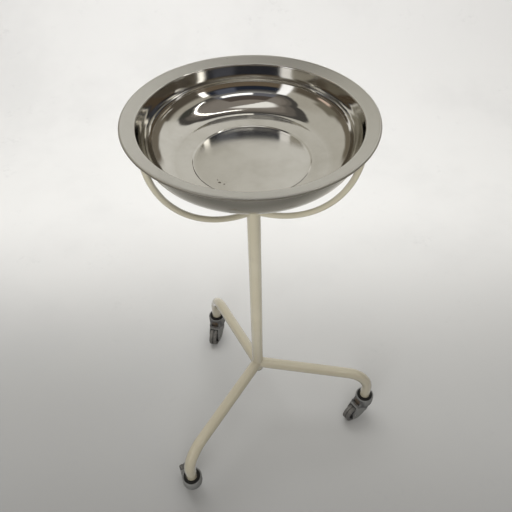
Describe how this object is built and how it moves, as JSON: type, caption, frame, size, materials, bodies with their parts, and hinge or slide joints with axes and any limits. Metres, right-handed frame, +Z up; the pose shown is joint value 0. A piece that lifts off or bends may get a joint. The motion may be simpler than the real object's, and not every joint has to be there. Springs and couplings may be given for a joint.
{
  "type": "wash basin stand",
  "caption": "Round polished steel wash basin lifting out of a ring cradle with curved arms, on a slim column with splayed bent tube legs and swivel casters.",
  "frame": {"origin": "centre of the inside face of the basin's base disc, which is on the column's axis; the floor is 781.01 mm below it", "axes": "+Z up along the column; -Y towards the viewer of the picture; the right-hand leg points 5.5 degrees towards the viewer from +X"},
  "size_m": [0.4886, 0.5092, 0.8608],
  "materials": {
    "basin_steel": "polished inside, satin flange",
    "enamel": "gloss cream enamel",
    "weld_enamel": "gloss cream enamel over weld beads",
    "cap_black": "matte black",
    "plug_black": "matte black",
    "pin_steel": "zinc plated",
    "collar_black": "matte black",
    "bearing_nylon": "natural nylon",
    "fork_grey": "dark grey paint over die-cast metal",
    "wheel_core": "dark grey",
    "tyre_rubber": "dark grey rubber"
  },
  "bodies": {
    "frame": {"cradle_ring": "enamel", "arm_right": "enamel", "arm_left": "enamel", "arm_rear": "enamel", "cradle_welds": "weld_enamel", "column": "enamel", "column_top_cap": "enamel", "column_foot_cap": "cap_black", "leg_right": "enamel", "leg_rear": "enamel", "leg_front": "enamel", "plug_right": "plug_black", "stem_right": "pin_steel", "collar_right": "collar_black", "bearing_right": "bearing_nylon", "retainer_right": "pin_steel", "plug_rear": "plug_black", "stem_rear": "pin_steel", "collar_rear": "collar_black", "bearing_rear": "bearing_nylon", "retainer_rear": "pin_steel", "plug_front": "plug_black", "stem_front": "pin_steel", "collar_front": "collar_black", "bearing_front": "bearing_nylon", "retainer_front": "pin_steel"},
    "basin": {"basin": "basin_steel"},
    "caster_right": {"fork_right": "fork_grey", "axle_right": "pin_steel"},
    "roller_right": {"wheel_right": "wheel_core", "tyre_right": "tyre_rubber"},
    "caster_rear": {"fork_rear": "fork_grey", "axle_rear": "pin_steel"},
    "roller_rear": {"wheel_rear": "wheel_core", "tyre_rear": "tyre_rubber"},
    "caster_front": {"fork_front": "fork_grey", "axle_front": "pin_steel"},
    "roller_front": {"wheel_front": "wheel_core", "tyre_front": "tyre_rubber"}
  },
  "joints": [
    {"name": "basin_lift", "type": "slide", "parent": "frame", "child": "basin", "axis": [0, 0, 1], "range_m": [0, 0.15]},
    {"name": "swivel_right", "type": "hinge", "parent": "frame", "child": "caster_right", "pos_m": [0.26826, -0.02583, -0.71601], "axis": [0, 0, 1], "continuous": true},
    {"name": "roll_right", "type": "hinge", "parent": "caster_right", "child": "roller_right", "pos_m": [0.24007, -0.04484, -0.75601], "axis": [0.5592, -0.829, 0], "continuous": true},
    {"name": "swivel_rear", "type": "hinge", "parent": "frame", "child": "caster_rear", "pos_m": [-0.11176, 0.24523, -0.71601], "axis": [0, 0, 1], "continuous": true},
    {"name": "roll_rear", "type": "hinge", "parent": "caster_rear", "child": "roller_rear", "pos_m": [-0.11999, 0.21224, -0.75601], "axis": [0.9703, -0.2419, 0], "continuous": true},
    {"name": "swivel_front", "type": "hinge", "parent": "frame", "child": "caster_front", "pos_m": [-0.1565, -0.2194, -0.71601], "axis": [0, 0, 1], "continuous": true},
    {"name": "roll_front", "type": "hinge", "parent": "caster_front", "child": "roller_front", "pos_m": [-0.1735, -0.18996, -0.75601], "axis": [-0.866, -0.5, 0], "continuous": true}
  ]
}
